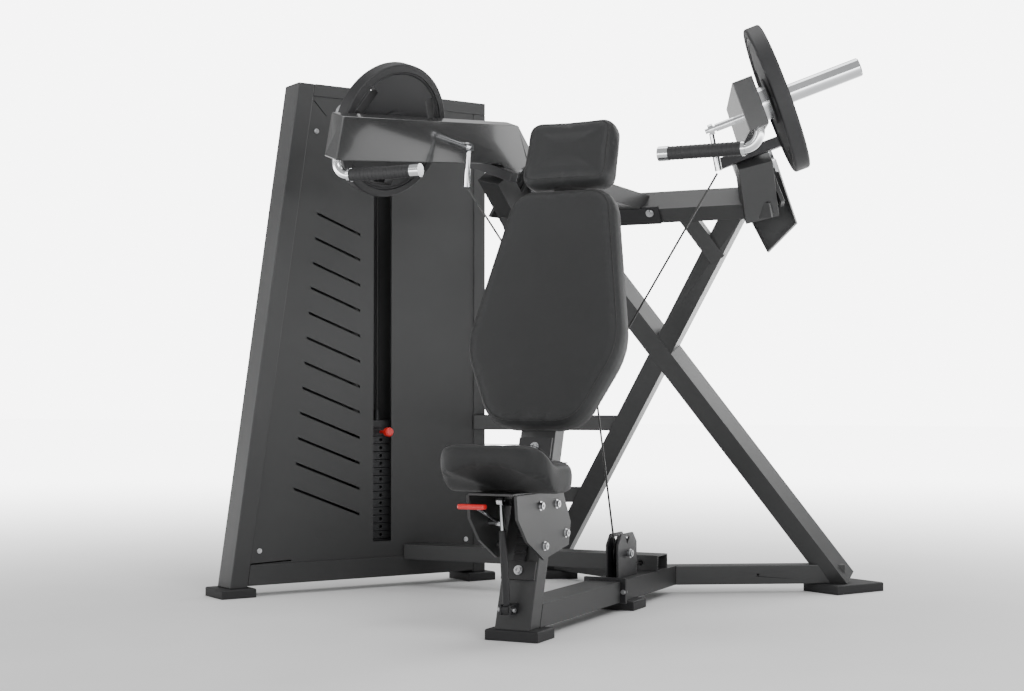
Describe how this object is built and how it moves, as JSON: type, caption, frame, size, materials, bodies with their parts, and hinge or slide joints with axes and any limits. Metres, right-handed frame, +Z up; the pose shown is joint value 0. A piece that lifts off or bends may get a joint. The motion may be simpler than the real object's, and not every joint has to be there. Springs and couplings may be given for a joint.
{
  "type": "shoulder press machine",
  "caption": "Seated shoulder press machine with pivoting arms, plate sleeves, a cable-driven weight stack tower and an adjustable padded seat.",
  "frame": {"origin": "On the floor under the front foot pad, in the symmetry plane of the seat.", "axes": "+Z up, +Y from the seat towards the rear feet, +X to the side away from the weight tower."},
  "size_m": [2.0726, 1.6994, 1.628],
  "materials": {
    "charcoal_frame": "satin",
    "charcoal_panel": "satin",
    "gloss_arm": "gloss",
    "vinyl_pad": "matte",
    "black_rubber": "matte",
    "chrome_steel": "polished",
    "zinc_bolts": "satin",
    "black_plastic": "matte",
    "cable_sheath": "gloss",
    "iron_plates": "satin",
    "red_plastic": "gloss",
    "black_steel": "satin"
  },
  "bodies": {
    "frame": {"arm_stops": "black_steel", "backrest_pad": "vinyl_pad", "base_cable": "cable_sheath", "base_rail_front": "charcoal_frame", "base_rail_rear": "charcoal_frame", "brace_tubes": "charcoal_frame", "bracket_plates": "black_steel", "drop_cable": "cable_sheath", "fixed_axles": "chrome_steel", "floor_feet": "black_rubber", "frame_bolts": "zinc_bolts", "guide_rods": "chrome_steel", "headrest_pad": "vinyl_pad", "lower_link": "charcoal_frame", "pivot_cheeks": "charcoal_frame", "pivot_guards": "charcoal_frame", "pulley_bracket": "black_steel", "resting_plates": "iron_plates", "seat_post": "charcoal_frame", "seat_track": "black_plastic", "splay_rails": "charcoal_frame", "stack_cable": "cable_sheath", "tower_back_panel": "charcoal_panel", "tower_front_leg": "charcoal_frame", "tower_links": "charcoal_frame", "tower_panel": "charcoal_panel", "tower_rails": "charcoal_frame", "tower_rear_leg": "charcoal_frame", "upper_beam": "charcoal_frame", "uprights": "charcoal_frame", "x_leg_left": "charcoal_frame", "x_leg_right": "charcoal_frame"},
    "left_arm": {"left_arm": "gloss_arm", "left_sleeve": "chrome_steel", "left_handle": "chrome_steel", "left_grip": "black_rubber", "left_cable_link": "chrome_steel"},
    "right_arm": {"right_arm": "gloss_arm", "right_sleeve": "chrome_steel", "right_handle": "chrome_steel", "right_grip": "black_rubber", "right_cable_link": "chrome_steel"},
    "left_plate": {"left_weight_plate": "black_rubber"},
    "right_plate": {"right_weight_plate": "black_rubber"},
    "yoke": {"cable_yoke": "zinc_bolts"},
    "left_cable": {"left_arm_cable": "cable_sheath"},
    "right_cable": {"right_arm_cable": "cable_sheath"},
    "stack": {"lifting_plates": "iron_plates"},
    "selector": {"selector_pin": "red_plastic"},
    "base_wheel": {"base_pulley": "black_plastic"},
    "turn_wheel": {"turn_pulley": "black_plastic"},
    "toe_wheel": {"toe_pulley": "black_plastic"},
    "crown_wheel": {"crown_pulley": "black_plastic"},
    "seat": {"seat_pad": "vinyl_pad", "seat_carriage": "charcoal_frame", "seat_fasteners": "zinc_bolts"},
    "lever": {"lever_rod": "chrome_steel", "lever_grip": "red_plastic"},
    "gas_barrel": {"gas_cylinder": "black_steel"},
    "gas_piston": {"gas_rod": "chrome_steel"}
  },
  "joints": [
    {"name": "left_press", "type": "hinge", "parent": "frame", "child": "left_arm", "pos_m": [-0.37299, 0.9007, 1.31234], "axis": [-0.8986, 0.2747, 0.342], "range_deg": [0, 40]},
    {"name": "right_press", "type": "hinge", "parent": "frame", "child": "right_arm", "pos_m": [0.37299, 0.9007, 1.31234], "axis": [-0.8986, -0.2747, -0.342], "range_deg": [0, 40]},
    {"name": "yoke_rise", "type": "slide", "parent": "frame", "child": "yoke", "axis": [0, 0, 1], "range_m": [0, 0.18081], "deforming": ["drop_cable"]},
    {"name": "left_cable_swing", "type": "hinge", "parent": "yoke", "child": "left_cable", "pos_m": [-0.024, 0.5516, 0.69], "axis": [-0.3157, 0.9398, -0.1306], "range_deg": [0, 10.92]},
    {"name": "right_cable_swing", "type": "hinge", "parent": "yoke", "child": "right_cable", "pos_m": [0.024, 0.5516, 0.69], "axis": [-0.3157, -0.9398, 0.1306], "range_deg": [0, 10.92]},
    {"name": "stack_lift", "type": "slide", "parent": "frame", "child": "stack", "axis": [0, 0, 1], "range_m": [0, 0.18081], "deforming": ["stack_cable"]},
    {"name": "selector_pull", "type": "slide", "parent": "stack", "child": "selector", "axis": [0.8536, -0.521, 0], "range_m": [0, 0.04]},
    {"name": "seat_height", "type": "slide", "parent": "frame", "child": "seat", "axis": [0, 0.309, 0.9511], "range_m": [-0.05, 0.065]},
    {"name": "lever_lift", "type": "hinge", "parent": "seat", "child": "lever", "pos_m": [-0.034, -0.01, 0.3], "axis": [-1, 0, 0], "range_deg": [0, 8], "stiffness_Nm_per_rad": 2, "springref_deg": -20.05},
    {"name": "gas_swing", "type": "hinge", "parent": "frame", "child": "gas_barrel", "pos_m": [-0.005, -0.026, 0.082], "axis": [-1, 0, 0], "range_deg": [-6, 6]},
    {"name": "gas_stroke", "type": "slide", "parent": "gas_barrel", "child": "gas_piston", "axis": [0, -0.1284, 0.9917], "range_m": [-0.05, 0.065]},
    {"name": "left_plate_slide", "type": "slide", "parent": "left_arm", "child": "left_plate", "axis": [-0.8986, 0.2747, 0.342], "range_m": [0, 0.2]},
    {"name": "right_plate_slide", "type": "slide", "parent": "right_arm", "child": "right_plate", "axis": [0.8986, 0.2747, 0.342], "range_m": [0, 0.2]},
    {"name": "base_wheel_turn", "type": "hinge", "parent": "frame", "child": "base_wheel", "pos_m": [0, 0.76, 0.157], "axis": [-1, 0, 0], "range_deg": [0, 231.36]},
    {"name": "turn_wheel_turn", "type": "hinge", "parent": "frame", "child": "turn_wheel", "pos_m": [-0.03, 0.96525, 0.112], "axis": [0, 0, -1], "range_deg": [0, 347.05]},
    {"name": "toe_wheel_turn", "type": "hinge", "parent": "frame", "child": "toe_wheel", "pos_m": [-0.83742, 0.99525, 0.139], "axis": [0, -1, 0], "range_deg": [0, 385.61]},
    {"name": "crown_wheel_turn", "type": "hinge", "parent": "frame", "child": "crown_wheel", "pos_m": [-0.89308, 0.94831, 1.5], "axis": [-0.8536, 0.521, 0], "range_deg": [0, 189.3]}
  ],
  "couplings": [
    {"joint": "right_press", "follows": "left_press", "ratio": 1},
    {"joint": "yoke_rise", "follows": "left_press", "m_per_rad": 0.25771},
    {"joint": "stack_lift", "follows": "left_press", "m_per_rad": 0.25771},
    {"joint": "left_cable_swing", "follows": "left_press", "ratio": 0.27028},
    {"joint": "right_cable_swing", "follows": "left_press", "ratio": 0.27028},
    {"joint": "gas_swing", "follows": "seat_height", "rad_per_m": 1.2613},
    {"joint": "gas_stroke", "follows": "seat_height", "ratio": 0.92107},
    {"joint": "base_wheel_turn", "follows": "left_press", "ratio": 5.7268},
    {"joint": "turn_wheel_turn", "follows": "left_press", "ratio": 8.5903},
    {"joint": "toe_wheel_turn", "follows": "left_press", "ratio": 9.5447},
    {"joint": "crown_wheel_turn", "follows": "left_press", "ratio": 4.6856}
  ]
}
